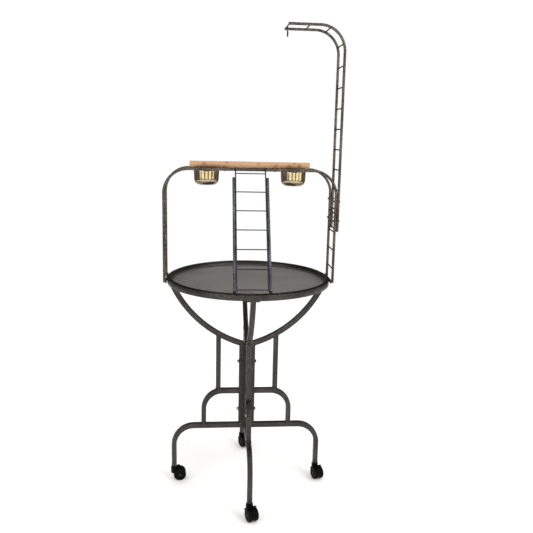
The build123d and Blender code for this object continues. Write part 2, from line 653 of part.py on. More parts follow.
def main():
    os.makedirs(PARTS_DIR, exist_ok=True)
    for name, angle in PANELS.items():
        heights = SIDE_BOLT_Z if name in ("left", "right") else FRONT_BOLT_Z
        save("base_panel_" + name, base_panel(angle, heights))
    save("centre_post", centre_post())
    bolts, washers, nuts = centre_fasteners()
    group("post_bolts", bolts)
    group("post_washers", washers)
    group("post_dome_nuts", nuts)
    group("leg_plugs", [leg_plug(angle) for angle in PANELS.values()])
    group("caster_stems", [caster_stem(angle) for angle in PANELS.values()])

    save("ring", ring())
    group("ring_screws", ring_bolts())
    save("pan", pan())

    rails = [arch_rail(y) for y in (-RAIL_Y, RAIL_Y)]
    save("arch_rail_front", rails[0])
    save("arch_rail_back", rails[1])
    both_rails = rails[0] + rails[1]
    group("arch_rungs", arch_rungs(both_rails))
    save("foot_plate_left", foot_plate(-1))
    save("foot_plate_right", foot_plate(1))
    bolts, nuts = foot_bolts()
    group("foot_bolts", bolts)
    group("foot_nuts", nuts)
    group("perch_straps", [perch_strap(side, both_rails) for side in (-1, 1)])
    save("perch", perch())
    group("perch_pegs", perch_pegs())
    for name, side in (("left", -1), ("right", 1)):
        save("cup_ring_" + name, cup_ring(side, both_rails))
        save("cup_" + name, cup(side))

    rods, hooks, rungs, feet = ladder_parts()
    save("ladder_rod_left", rods["left"])
    save("ladder_rod_right", rods["right"])
    group("ladder_hooks", hooks)
    group("ladder_rungs", rungs)
    group("ladder_feet", feet)

    pole = [pole_rail(y) for y in (-RAIL_Y, RAIL_Y)]
    save("pole_rail_front", pole[0])
    save("pole_rail_back", pole[1])
    rungs = pole_rungs(pole[0] + pole[1])
    group("pole_rungs", rungs)
    screws, nuts = pole_screws()
    group("pole_screws", screws)
    group("pole_nuts", nuts)
    save("toy_hook", toy_hook(rungs[-1]))

    pieces = {"caster_housing_{}": caster_housing(), "caster_axle_{}": caster_axle(),
              "caster_wheel_{}_a": wheel_side(1), "caster_wheel_{}_b": wheel_side(-1)}
    for name, (angle, heading) in CASTERS.items():
        for file_name, shape in pieces.items():
            save(file_name.format(name), place_caster(shape, angle, heading))


main()
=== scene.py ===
import json
import math
import random

import bpy
import numpy as np
from mathutils import Matrix, Vector
from mathutils.bvhtree import BVHTree


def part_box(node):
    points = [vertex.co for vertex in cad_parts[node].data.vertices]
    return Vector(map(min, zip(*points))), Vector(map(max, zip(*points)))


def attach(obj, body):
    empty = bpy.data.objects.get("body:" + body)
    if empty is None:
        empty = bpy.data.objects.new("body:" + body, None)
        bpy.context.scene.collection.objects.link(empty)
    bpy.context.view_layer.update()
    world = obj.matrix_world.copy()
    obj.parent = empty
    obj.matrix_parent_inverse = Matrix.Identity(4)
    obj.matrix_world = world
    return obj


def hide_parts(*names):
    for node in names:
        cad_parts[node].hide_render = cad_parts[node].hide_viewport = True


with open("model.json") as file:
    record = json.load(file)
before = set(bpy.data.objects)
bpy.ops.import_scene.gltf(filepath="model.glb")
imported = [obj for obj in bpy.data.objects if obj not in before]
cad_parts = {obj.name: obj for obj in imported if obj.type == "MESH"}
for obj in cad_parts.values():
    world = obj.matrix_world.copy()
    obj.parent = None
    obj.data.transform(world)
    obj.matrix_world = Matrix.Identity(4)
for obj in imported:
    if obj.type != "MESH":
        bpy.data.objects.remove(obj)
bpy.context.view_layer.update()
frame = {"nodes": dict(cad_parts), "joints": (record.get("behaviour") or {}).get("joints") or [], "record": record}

NODES = frame["nodes"]
JOINTS = {joint["name"]: joint for joint in frame["joints"]}
MM = 0.001
PANEL_ANGLES = (0, 90, 180, 270)
random.seed(7)

# ---- camera: metres and radians -------------------------------------------------------------
CAMERA_PLACE = (-0.1529, -2.4505, 1.3906)
CAMERA_YAW = 0.09073
CAMERA_PITCH = -0.19944
CAMERA_ROLL = 0.02242
FOCAL_PIXELS = 644.3
IMAGE_PIXELS = 533.0
SENSOR = 36.0


# ---- node trees -----------------------------------------------------------------------------
class Nodes:
    """Short ways to add and link nodes in one node tree."""

    def __init__(self, tree):
        self.tree = tree

    def add(self, kind, **settings):
        node = self.tree.nodes.new(kind)
        for key, value in settings.items():
            setattr(node, key, value)
        return node

    def feed(self, socket, value):
        if isinstance(value, bpy.types.NodeSocket):
            self.tree.links.new(value, socket)
        else:
            socket.default_value = value

    def math(self, operation, a, b=0.0):
        node = self.add("ShaderNodeMath", operation=operation)
        self.feed(node.inputs[0], a)
        self.feed(node.inputs[1], b)
        return node.outputs["Value"]

    def mix(self, fac, a, b):
        """The colour a where fac is 0 and b where it is 1."""
        node = self.add("ShaderNodeMix", data_type="RGBA")
        self.feed(node.inputs["Factor"], fac)
        self.feed(node.inputs[6], a)
        self.feed(node.inputs[7], b)
        return node.outputs[2]


class Shader(Nodes):
    """A material under construction: its node tree and its Principled shader."""

    def __init__(self, name, **values):
        self.material = bpy.data.materials.new(name)
        self.material.use_nodes = True
        super().__init__(self.material.node_tree)
        self.bsdf = self.tree.nodes["Principled BSDF"]
        for key, value in values.items():
            self.bsdf.inputs[key.replace("_", " ")].default_value = value
        self.coords = self.add("ShaderNodeTexCoord").outputs["Object"]

    def set(self, name, value):
        self.feed(self.bsdf.inputs[name], value)

    def noise(self, scale, detail=3.0, roughness=0.55, coords=None):
        node = self.add("ShaderNodeTexNoise")
        self.feed(node.inputs["Vector"], coords or self.coords)
        node.inputs["Scale"].default_value = scale
        node.inputs["Detail"].default_value = detail
        node.inputs["Roughness"].default_value = roughness
        return node.outputs["Fac"]

    def cells(self, scale, smooth=1.0, coords=None):
        node = self.add("ShaderNodeTexVoronoi", feature="SMOOTH_F1")
        self.feed(node.inputs["Vector"], coords or self.coords)
        node.inputs["Scale"].default_value = scale
        node.inputs["Smoothness"].default_value = smooth
        return node.outputs["Distance"]

    def stretched(self, scale):
        """Coordinates with their own scale on each axis."""
        node = self.add("ShaderNodeMapping")
        self.feed(node.inputs["Vector"], self.coords)
        node.inputs["Scale"].default_value = scale
        return node.outputs["Vector"]

    def bent(self, amount, scale):
        """Coordinates pushed about by a noise, so that a pattern isn't regular."""
        noise = self.add("ShaderNodeTexNoise")
        self.feed(noise.inputs["Vector"], self.coords)
        noise.inputs["Scale"].default_value = scale
        scaled = self.add("ShaderNodeVectorMath", operation="SCALE")
        self.feed(scaled.inputs[0], noise.outputs["Color"])
        scaled.inputs["Scale"].default_value = amount
        total = self.add("ShaderNodeVectorMath", operation="ADD")
        self.feed(total.inputs[0], self.coords)
        self.feed(total.inputs[1], scaled.outputs["Vector"])
        return total.outputs["Vector"]

    def remap(self, value, low, high, to_low, to_high):
        """The range from low to high made into the range from to_low to to_high."""
        node = self.add("ShaderNodeMapRange")
        self.feed(node.inputs["Value"], value)
        for key, number in (("From Min", low), ("From Max", high), ("To Min", to_low), ("To Max", to_high)):
            node.inputs[key].default_value = number
        return node.outputs["Result"]

    def ramp(self, value, *stops):
        """Colours along a value from 0 to 1, each stop a place and an RGB."""
        node = self.add("ShaderNodeValToRGB")
        self.feed(node.inputs["Fac"], value)
        elements = node.color_ramp.elements
        while len(elements) < len(stops):
            elements.new(0.5)
        for element, (place, rgb) in zip(elements, stops):
            element.position = place
            element.color = (*rgb, 1.0)
        return node.outputs["Color"]

    def bump(self, height, strength, distance, under=None):
        node = self.add("ShaderNodeBump")
        self.feed(node.inputs["Height"], height)
        node.inputs["Strength"].default_value = strength
        node.inputs["Distance"].default_value = distance
        if under is not None:
            self.feed(node.inputs["Normal"], under)
        return node.outputs["Normal"]


def rgba(r, g, b):
    return (r, g, b, 1.0)


# ---- materials ------------------------------------------------------------------------------
def hammered_paint(name, dark, middle, light, metallic=0.35, rough=(0.34, 0.50), cell=0.0033, depth=0.0003):
    """Hammertone powder coat: rounded dimples, darker in the hollows, with flecks and faint clouds."""
    s = Shader(name, Metallic=metallic, Coat_Weight=0.12, Coat_Roughness=0.22)
    place = s.bent(cell * 0.6, 0.45 / cell)
    dimples = s.cells(1.0 / cell, 1.0, place)
    clouds = s.noise(11.0, 3.0)
    flecks = s.noise(800.0, 2.0)
    tone = s.math("ADD", s.remap(dimples, 0.10, 0.80, 0.0, 0.70), s.remap(clouds, 0.3, 0.7, -0.10, 0.16))
    tone = s.math("ADD", tone, s.remap(flecks, 0.45, 0.75, 0.14, -0.22))
    s.set("Base Color", s.ramp(tone, (0.06, light), (0.36, middle), (0.72, dark)))
    s.set("Roughness", s.remap(dimples, 0.0, 0.7, rough[0], rough[1]))
    fine = s.bump(flecks, 0.15, 0.0001)
    s.set("Normal", s.bump(dimples, 0.6, depth, fine))
    return s.material


PAN_LIP = 5.2 * MM           # width of the pan's rolled lip, seen from above
PAN_RISE = 14.5 * MM         # from the pan's edge in to where its floor begins to curve up


def pan_coat():
    """Smooth grey coat on the pan's floor, hammered coat on its wall darkened with painted shade, and a painted
    shadow on the rolled edge where it meets the ring.
    """
    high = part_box("pan")[1]
    lip_r = high.x - PAN_LIP
    floor_r = high.x - PAN_RISE
    s = Shader("pan_paint", Metallic=0.10, Coat_Weight=0.25, Coat_Roughness=0.16)
    axes = s.add("ShaderNodeSeparateXYZ")
    s.feed(axes.inputs["Vector"], s.coords)
    flat = s.add("ShaderNodeCombineXYZ")
    s.feed(flat.inputs["X"], axes.outputs["X"])
    s.feed(flat.inputs["Y"], axes.outputs["Y"])
    length = s.add("ShaderNodeVectorMath", operation="LENGTH")
    s.feed(length.inputs[0], flat.outputs["Vector"])
    radius = length.outputs["Value"]
    wall = s.remap(radius, floor_r, floor_r + 1.5 * MM, 0.0, 1.0)
    # mask of the rolled outer edge, which is painted near black as the shadow of the gap between pan and ring
    gap_shadow = s.remap(radius, lip_r, lip_r + 1.0 * MM, 0.0, 1.0)
    peel = s.cells(250.0, 1.0, s.bent(4 * MM, 100.0))
    clouds = s.noise(6.0, 4.0, 0.6)
    dust = s.noise(420.0, 3.0, 0.7)
    tone = s.math("ADD", s.remap(clouds, 0.3, 0.7, 0.0, 0.45), s.remap(dust, 0.50, 0.8, 0.0, 0.5))
    ground = s.ramp(tone, (0.0, (0.150, 0.148, 0.146)), (0.5, (0.192, 0.189, 0.186)),
                    (1.0, (0.238, 0.234, 0.229)))
    # the wall's colour: hammered mottling, darkened as painted shade
    side = s.ramp(peel, (0.10, (0.100, 0.088, 0.078)), (0.45, (0.040, 0.035, 0.031)),
                  (0.85, (0.012, 0.010, 0.009)))
    floor_and_shaded_wall = s.mix(wall, ground, side)
    # painted shadow: the rolled outer edge near black
    s.set("Base Color", s.mix(gap_shadow, floor_and_shaded_wall, rgba(0.0085, 0.0075, 0.0070)))
    s.set("Roughness", s.remap(clouds, 0.3, 0.7, 0.34, 0.46))
    s.set("Normal", s.bump(peel, 0.30, 0.0002))
    return s.material


def zinc_plate():
    """Yellow-chromated zinc: warm, slightly uneven, with fine scratches."""
    s = Shader("zinc_plate", Metallic=1.0)
    blotch = s.noise(160.0, 4.0)
    scratch = s.noise(1.0, 2.0, coords=s.stretched((90.0, 90.0, 2200.0)))
    s.set("Base Color", s.ramp(blotch, (0.30, (0.70, 0.58, 0.30)), (0.52, (0.82, 0.74, 0.48)),
                               (0.75, (0.66, 0.64, 0.60))))
    s.set("Roughness", s.remap(blotch, 0.3, 0.7, 0.22, 0.42))
    s.set("Normal", s.bump(scratch, 0.15, 0.00005))
    return s.material


def shaded_steel(name, shade_tone, worn):
    """Steel darkened with painted shade, with a little wear, for axle ends, bolt heads and washers."""
    s = Shader(name, Metallic=0.8)
    wear = s.noise(300.0, 3.0)
    # the dark tone is painted shade; the lighter patches are wear
    s.set("Base Color", s.ramp(wear, (0.35, shade_tone), (0.7, worn)))
    s.set("Roughness", s.remap(wear, 0.3, 0.7, 0.35, 0.5))
    return s.material


CUP_FOOT = (13 * MM, 24 * MM)     # the painted shade and duller finish of a cup's foot end between these heights


def polished_steel():
    """Stainless bowl: mirror finish with faint spinning lines, soft fingerprints and a warm tint painted in as
    reflection; the foot is duller and darkened with painted shade.
    """
    s = Shader("polished_steel", Metallic=1.0)
    lines = s.noise(1.0, 2.0, coords=s.stretched((14.0, 14.0, 2600.0)))
    smudge = s.noise(55.0, 4.0, 0.6)
    cup_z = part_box("cup_left")[0].z
    axes = s.add("ShaderNodeSeparateXYZ")
    s.feed(axes.inputs["Vector"], s.coords)
    foot = s.remap(axes.outputs["Z"], cup_z + CUP_FOOT[0], cup_z + CUP_FOOT[1], 1.0, 0.0)
    # warm tint of the steel: painted reflection of the wood and the room, varied by the smudges
    warm_reflection_tint = s.ramp(smudge, (0.25, (0.72, 0.61, 0.42)), (0.7, (0.86, 0.78, 0.60)))
    # dark brown at the foot: painted shade; the foot is also rougher
    s.set("Base Color", s.mix(foot, warm_reflection_tint, rgba(0.20, 0.145, 0.095)))
    smeared = s.remap(smudge, 0.42, 0.72, 0.045, 0.16)
    s.set("Roughness", s.math("ADD", smeared, s.math("MULTIPLY", foot, 0.12)))
    s.set("Normal", s.bump(lines, 0.05, 0.00004))
    return s.material


PITH_Y, PITH_Z = 6 * MM, 9 * MM      # the wood's pith, from the dowel's own axis
RING_DRIFT = 0.012                   # metres that the growth rings wander sideways


def hardwood(axis_y, axis_z):
    """Turned light hardwood along X: rings about the pith, fine pores, and knots marked on the mesh."""
    s = Shader("perch_hardwood", Specular_IOR_Level=0.35)
    centred = s.add("ShaderNodeMapping")
    s.feed(centred.inputs["Vector"], s.coords)
    centred.inputs["Location"].default_value = (0.0, PITH_Y - axis_y, PITH_Z - axis_z)
    drift = s.add("ShaderNodeTexNoise")
    s.feed(drift.inputs["Vector"], s.stretched((3.0, 30.0, 30.0)))
    drift.inputs["Scale"].default_value = 1.0
    shift = s.add("ShaderNodeVectorMath", operation="SCALE")
    s.feed(shift.inputs[0], drift.outputs["Color"])
    shift.inputs["Scale"].default_value = RING_DRIFT
    place = s.add("ShaderNodeVectorMath", operation="ADD")
    s.feed(place.inputs[0], centred.outputs["Vector"])
    s.feed(place.inputs[1], shift.outputs["Vector"])
    rings = s.add("ShaderNodeTexWave", wave_type="RINGS", rings_direction="X")
    s.feed(rings.inputs["Vector"], place.outputs["Vector"])
    for key, value in (("Scale", 95.0), ("Distortion", 2.2), ("Detail", 2.0), ("Detail Scale", 1.4)):
        rings.inputs[key].default_value = value
    pores = s.noise(1.0, 3.0, 0.6, coords=s.stretched((60.0, 1500.0, 1500.0)))
    broad = s.noise(1.0, 3.0, coords=s.stretched((9.0, 60.0, 60.0)))
    grain = s.ramp(rings.outputs["Fac"], (0.12, (0.36, 0.205, 0.105)), (0.45, (0.50, 0.310, 0.175)),
                   (0.9, (0.60, 0.390, 0.235)))
    tinted = s.mix(s.remap(broad, 0.35, 0.7, 0.0, 0.55), grain, rgba(0.42, 0.225, 0.115))
    pored = s.mix(s.remap(pores, 0.56, 0.72, 0.0, 0.5), tinted, rgba(0.28, 0.14, 0.06))
    knot = s.add("ShaderNodeAttribute", attribute_name="knot")
    s.set("Base Color", s.mix(s.math("MULTIPLY", knot.outputs["Fac"], 0.9), pored, rgba(0.13, 0.055, 0.022)))
    s.set("Roughness", s.remap(pores, 0.3, 0.7, 0.46, 0.66))
    s.set("Normal", s.bump(pores, 0.3, 0.00025, s.bump(rings.outputs["Fac"], 0.15, 0.0002)))
    return s.material


def black_plastic(name, base, rough, grain):
    """Moulded plastic: fine spark texture, a little dust in the hollows."""
    s = Shader(name, Specular_IOR_Level=0.09)
    spark = s.noise(grain, 2.0)
    dust = s.noise(70.0, 5.0, 0.65)
    worn = tuple(c * 1.5 for c in base)
    s.set("Base Color", s.ramp(dust, (0.45, base), (0.62, worn), (0.90, (0.009, 0.0085, 0.008))))
    dusty = s.remap(dust, 0.3, 0.8, rough - 0.05, rough + 0.2)
    s.set("Roughness", s.math("ADD", dusty, s.remap(spark, 0.3, 0.7, -0.03, 0.03)))
    s.set("Normal", s.bump(spark, 0.25, 0.00006))
    return s.material


def floor_paint():
    s = Shader("studio_floor", Roughness=0.75, Specular_IOR_Level=0.2)
    s.set("Base Color", s.ramp(s.noise(1.3, 2.0), (0.3, (0.905, 0.905, 0.905)), (0.7, (0.925, 0.925, 0.925))))
    return s.material


FRAME_PAINT = hammered_paint("frame_paint", (0.0030, 0.0026, 0.0024), (0.021, 0.0185, 0.0165),
                             (0.105, 0.094, 0.084))
# a lighter copy of the frame paint: painted light on the rails and cup rings
LIT_RAIL_PAINT = hammered_paint("lit_rail_paint", (0.0080, 0.0064, 0.0054), (0.060, 0.049, 0.041),
                            (0.270, 0.225, 0.190))
RUNG_PAINT = hammered_paint("rung_paint", (0.0030, 0.0024, 0.0020), (0.017, 0.0135, 0.0115),
                            (0.075, 0.061, 0.050), cell=0.0026, depth=0.0002)
LADDER_PAINT = hammered_paint("ladder_paint", (0.0045, 0.0068, 0.0105), (0.038, 0.050, 0.068),
                              (0.205, 0.245, 0.300), cell=0.0032)
WELD_PAINT = hammered_paint("weld_paint", (0.005, 0.0045, 0.004), (0.024, 0.0205, 0.018),
                            (0.100, 0.086, 0.074), rough=(0.38, 0.55), cell=0.0026, depth=0.0002)
PAN_PAINT = pan_coat()
ZINC = zinc_plate()
STEEL = polished_steel()
# axle ends and fasteners drawn near black: painted shade in the hubs and joints
SHADED_AXLE = shaded_steel("shaded_steel", (0.035, 0.035, 0.036), (0.13, 0.13, 0.13))
SHADED_BOLT = shaded_steel("shaded_bolt_steel", (0.050, 0.045, 0.036), (0.17, 0.15, 0.11))
HOUSING = black_plastic("housing_plastic", (0.0012, 0.0012, 0.0014), 0.36, 1500.0)
WHEEL = black_plastic("wheel_plastic", (0.0010, 0.0010, 0.0012), 0.30, 2200.0)
TREAD = black_plastic("tread_rubber", (0.0014, 0.0014, 0.0017), 0.50, 1300.0)
FOOT = black_plastic("foot_vinyl", (0.009, 0.009, 0.010), 0.42, 900.0)

MATERIAL_OF_SLOT = {"frame_paint": FRAME_PAINT, "ladder_paint": LADDER_PAINT, "pan_paint": PAN_PAINT,
                    "zinc": ZINC, "polished_steel": STEEL, "black_plastic": HOUSING,
                    "wheel_plastic": WHEEL, "foot_rubber": FOOT}

# nodes whose look differs from the rest of their slot
MATERIAL_OF_NODE = {"pole_nuts": SHADED_BOLT, "foot_bolts": SHADED_BOLT, "foot_nuts": SHADED_BOLT,
                    # rails and cup rings take the lighter copy of the frame paint: painted light
                    "arch_rail_front": LIT_RAIL_PAINT, "arch_rail_back": LIT_RAIL_PAINT,
                    "pole_rail_front": LIT_RAIL_PAINT, "pole_rail_back": LIT_RAIL_PAINT,
                    "cup_ring_left": LIT_RAIL_PAINT, "cup_ring_right": LIT_RAIL_PAINT,
                    "ladder_rungs": RUNG_PAINT, "ladder_hooks": RUNG_PAINT,
                    "caster_axle_left": SHADED_AXLE, "caster_axle_right": SHADED_AXLE,
                    "caster_axle_front": SHADED_AXLE, "caster_axle_back": SHADED_AXLE}


def paint_cad_nodes():
    """Every CAD node that stays gets a procedural material, its own or that of its slot."""
    for part in frame["record"]["subparts"]:
        material = MATERIAL_OF_NODE.get(part["node"], MATERIAL_OF_SLOT.get(part["material_slot"]))
        if material is not None:
            mesh = NODES[part["node"]].data
            mesh.materials.clear()
            mesh.materials.append(material)


SIDES = ("left", "right", "front", "back")
TUBE_CORNER = 1.8 * MM       # outer corner of the drawn square tube
ROLLED_EDGE = 0.7 * MM
FLAT_EDGE = 0.5 * MM
SAME_POINT = 0.01 * MM


def ease_edges():
    """Rounded corners for the drawn tubes and the moulded housings."""
    widths = {"centre_post": TUBE_CORNER, "perch_straps": FLAT_EDGE, "foot_plate_left": FLAT_EDGE,
              "foot_plate_right": FLAT_EDGE, "ring": ROLLED_EDGE, "leg_plugs": FLAT_EDGE}
    for side in SIDES:
        widths["base_panel_" + side] = TUBE_CORNER
        widths["caster_housing_" + side] = ROLLED_EDGE
    for node, width in widths.items():
        weld = NODES[node].modifiers.new("weld", "WELD")
        weld.merge_threshold = SAME_POINT
        bevel = NODES[node].modifiers.new("bevel", "BEVEL")
        bevel.width = width
        bevel.segments = 3
        bevel.limit_method = "ANGLE"
        bevel.angle_limit = math.radians(40)
        bevel.miter_outer = "MITER_ARC"
        bevel.harden_normals = True


# ---- mesh building --------------------------------------------------------------------------
SHARP = math.radians(38)


class Piece:
    """Verts and faces gathered for one object."""

    def __init__(self):
        self.verts, self.faces, self.tags = [], [], []

    def add(self, verts, faces, matrix=None, tag=0):
        start = len(self.verts)
        matrix = matrix or Matrix.Identity(4)
        self.verts += [tuple(matrix @ Vector(v)) for v in verts]
        flip = matrix.to_3x3().determinant() < 0
        for face in faces:
            face = tuple(reversed(face)) if flip else tuple(face)
            self.faces.append(tuple(start + i for i in face))
            self.tags.append(tag)

    def build(self, name, body, materials, slot=None, replaces=()):
        mesh = bpy.data.meshes.new(name)
        mesh.from_pydata(self.verts, [], self.faces)
        for material in materials:
            mesh.materials.append(material)
        mesh.polygons.foreach_set("material_index", self.tags)
        mesh.validate()
        mesh.shade_smooth()
        mesh.set_sharp_from_angle(angle=SHARP)
        obj = bpy.data.objects.new(name, mesh)
        bpy.context.scene.collection.objects.link(obj)
        if replaces:
            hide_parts(*replaces)
        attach(obj, body)
        return obj


def lathe(profile, steps):
    """A closed profile of (radius, height) turned about Z; a radius of 0 is a pole."""
    verts, rows = [], []
    for radius, height in profile:
        if radius == 0:
            rows.append([len(verts)] * steps)
            verts.append((0.0, 0.0, height))
            continue
        rows.append(list(range(len(verts), len(verts) + steps)))
        for i in range(steps):
            turn = 2 * math.pi * i / steps
            verts.append((radius * math.cos(turn), radius * math.sin(turn), height))
    faces = []
    count = len(profile)
    closed = profile[0][0] != 0
    for k in range(count if closed else count - 1):
        low, high = rows[k], rows[(k + 1) % count]
        for i in range(steps):
            j = (i + 1) % steps
            corners = [low[i], low[j], high[j], high[i]]
            faces.append(tuple(dict.fromkeys(corners)))
    return verts, faces


def round_corner(start, corner, end, radius, steps=5):
    """Points of a 2-D outline's corner rounded by an arc-like curve."""
    a, c, b = Vector(start), Vector(corner), Vector(end)
    p = c + (a - c).normalized() * radius
    q = c + (b - c).normalized() * radius
    points = []
    for i in range(steps + 1):
        t = i / steps
        points.append(tuple((1 - t) ** 2 * p + 2 * t * (1 - t) * c + t * t * q))
    return points


def tube_along(points, radius, sides=10, closed=False, caps=True):
    """A round tube on a list of points; radius may be a number or one number per point."""
    pts = [Vector(p) for p in points]
    count = len(pts)
    radii = radius if isinstance(radius, (list, tuple)) else [radius] * count
    verts, faces = [], []
    up = None
    for k in range(count):
        before = pts[(k - 1) % count] if (closed or k > 0) else pts[k]
        after = pts[(k + 1) % count] if (closed or k < count - 1) else pts[k]
        along = (after - before).normalized()
        if up is None:
            up = along.orthogonal().normalized()
        up = (up - along * up.dot(along)).normalized()
        side = along.cross(up)
        for i in range(sides):
            turn = 2 * math.pi * i / sides
            verts.append(tuple(pts[k] + (up * math.cos(turn) + side * math.sin(turn)) * radii[k]))
    for k in range(count if closed else count - 1):
        base, top = k * sides, ((k + 1) % count) * sides
        for i in range(sides):
            j = (i + 1) % sides
            faces.append((base + i, base + j, top + j, top + i))
    if caps and not closed:
        faces.append(tuple(reversed(range(sides))))
        faces.append(tuple(range((count - 1) * sides, count * sides)))
    return verts, faces


SAME_VERTEX = 5              # decimals of a metre to which vertices of one solid agree


def islands(node):
    """(lowest corner, highest corner) of each separate solid in a CAD node, lowest and leftmost first."""
    mesh = NODES[node].data
    places = {}
    owner = []
    for vertex in mesh.vertices:
        key = tuple(round(c, SAME_VERTEX) for c in vertex.co)
        owner.append(places.setdefault(key, len(places)))
    parent = list(range(len(places)))

    def root(i):
        while parent[i] != i:
            parent[i] = parent[parent[i]]
            i = parent[i]
        return i

    for polygon in mesh.polygons:
        first = root(owner[polygon.vertices[0]])
        for index in polygon.vertices[1:]:
            parent[root(owner[index])] = first
    groups = {}
    for key, index in places.items():
        groups.setdefault(root(index), []).append(key)
    boxes = []
    for keys in groups.values():
        array = np.array(keys)
        boxes.append((Vector(array.min(0)), Vector(array.max(0))))
    return sorted(boxes, key=lambda box: (round(box[0].z, 4), round(box[0].x, 4), round(box[0].y, 4)))


# ---- welds ----------------------------------------------------------------------------------
RIPPLE = 1.5 * MM            # pitch of the scales in a weld bead
BASE_BEAD = 1.5 * MM         # radii of the beads
RUNG_BEAD = 1.0 * MM
RUNG_LOOP = 2.6 * MM         # radii of the rings that the beads make round the rungs
LADDER_LOOP = 2.0 * MM
STRAP_BEAD = 1.1 * MM
CUP_RING_BEAD = 1.2 * MM
PLATE_BEAD = 1.3 * MM
LADDER_BEAD = 0.8 * MM
TACK_BEAD = 1.0 * MM
TACK_LENGTH = 14 * MM
TACK_SHARES = (0.03, 0.36, 0.68, 0.93)   # places of the tacks along a side rod
BEAD_POINTS = 4              # points to each scale
BEAD_SIDES = 8
# shares of a bead's radius: where a scale starts, what it gains, what is random, and an open bead's ends
BEAD_START, BEAD_GAIN, BEAD_WANDER, BEAD_END = 0.86, 0.16, 0.04, 0.55


def weld_line(points, radius, closed=False):
    """A bead along a line of points: overlapping scales with a little wander."""
    pts = [Vector(p) for p in points]
    if closed:
        pts.append(pts[0])
    lengths = [(b - a).length for a, b in zip(pts, pts[1:])]
    total = sum(lengths)
    count = max(8, int(total / RIPPLE * BEAD_POINTS))
    placed, radii = [], []
    for i in range(count + (0 if closed else 1)):
        goal = total * i / count
        k = 0
        while k < len(lengths) - 1 and goal > lengths[k]:
            goal -= lengths[k]
            k += 1
        placed.append(pts[k].lerp(pts[k + 1], min(1.0, goal / lengths[k])))
        phase = (total * i / count / RIPPLE) % 1.0
        scale = BEAD_START + BEAD_GAIN * math.sqrt(phase) + random.uniform(-BEAD_WANDER, BEAD_WANDER)
        radii.append(radius * scale)
    if not closed:
        radii[0] *= BEAD_END
        radii[-1] *= BEAD_END
    return tube_along(placed, radii, BEAD_SIDES, closed)


def circle_points(centre, axis, radius, steps=24):
    """Points of a circle about an axis, in 3-D."""
    axis = Vector(axis).normalized()
    up = axis.orthogonal().normalized()
    side = axis.cross(up)
    turns = [2 * math.pi * i / steps for i in range(steps)]
    return [Vector(centre) + (up * math.cos(turn) + side * math.sin(turn)) * radius for turn in turns]


def square_points(half, corner=2.2 * MM):
    """Outline of a square tube with rounded corners, in 2-D."""
    points = []
    for quarter in range(4):
        for step in range(4):
            turn = math.pi / 2 * quarter + math.pi / 2 * step / 3
            middle = math.pi / 4 + math.pi / 2 * quarter
            cx = math.copysign(half - corner, math.cos(middle))
            cy = math.copysign(half - corner, math.sin(middle))
            points.append((cx + corner * math.cos(turn), cy + corner * math.sin(turn)))
    return points


def surface(node):
    """The node's mesh as a tree that rays can be cast at."""
    obj = NODES[node]
    verts = [obj.matrix_world @ v.co for v in obj.data.vertices]
    return BVHTree.FromPolygons(verts, [p.vertices for p in obj.data.polygons])


RAY_STEP = 0.02 * MM         # a ray goes on from this far behind the surface that it met


def hits(tree, start, direction, count):
    """The first few places where a ray meets a surface."""
    found, place, step = [], Vector(start), Vector(direction)
    while len(found) < count:
        spot = tree.ray_cast(place, step)[0]
        if spot is None:
            break
        found.append(spot.copy())
        place = spot + step * RAY_STEP
    return found


BESIDE = 0.4 * MM            # rays run this far beside the tubes' middle plane
COLUMN_X = 75 * MM           # a ray up from here meets the leg's bar, then the arch's bar
INSIDE_X = 50 * MM           # rays outward from here meet the strut and the arch's leg
MIDDLE_X = 100 * MM          # a ray inward from here meets the spine
RAY_FOOT_Z = 20 * MM
WELD_PROUD = 0.3 * MM        # a bead's middle lies this far outside the tube
SLOPE_REACH = 1 * MM         # the sweep's slope is taken this far beside the strut
TAB = 3 * MM                 # thickness of the tabs under the ring
TAB_BEAD = (27 * MM, 12 * MM)    # start and end of the bead on a tab, in from the ring's outside
TAB_BESIDE = 0.4 * MM        # from the tube's side out to that bead


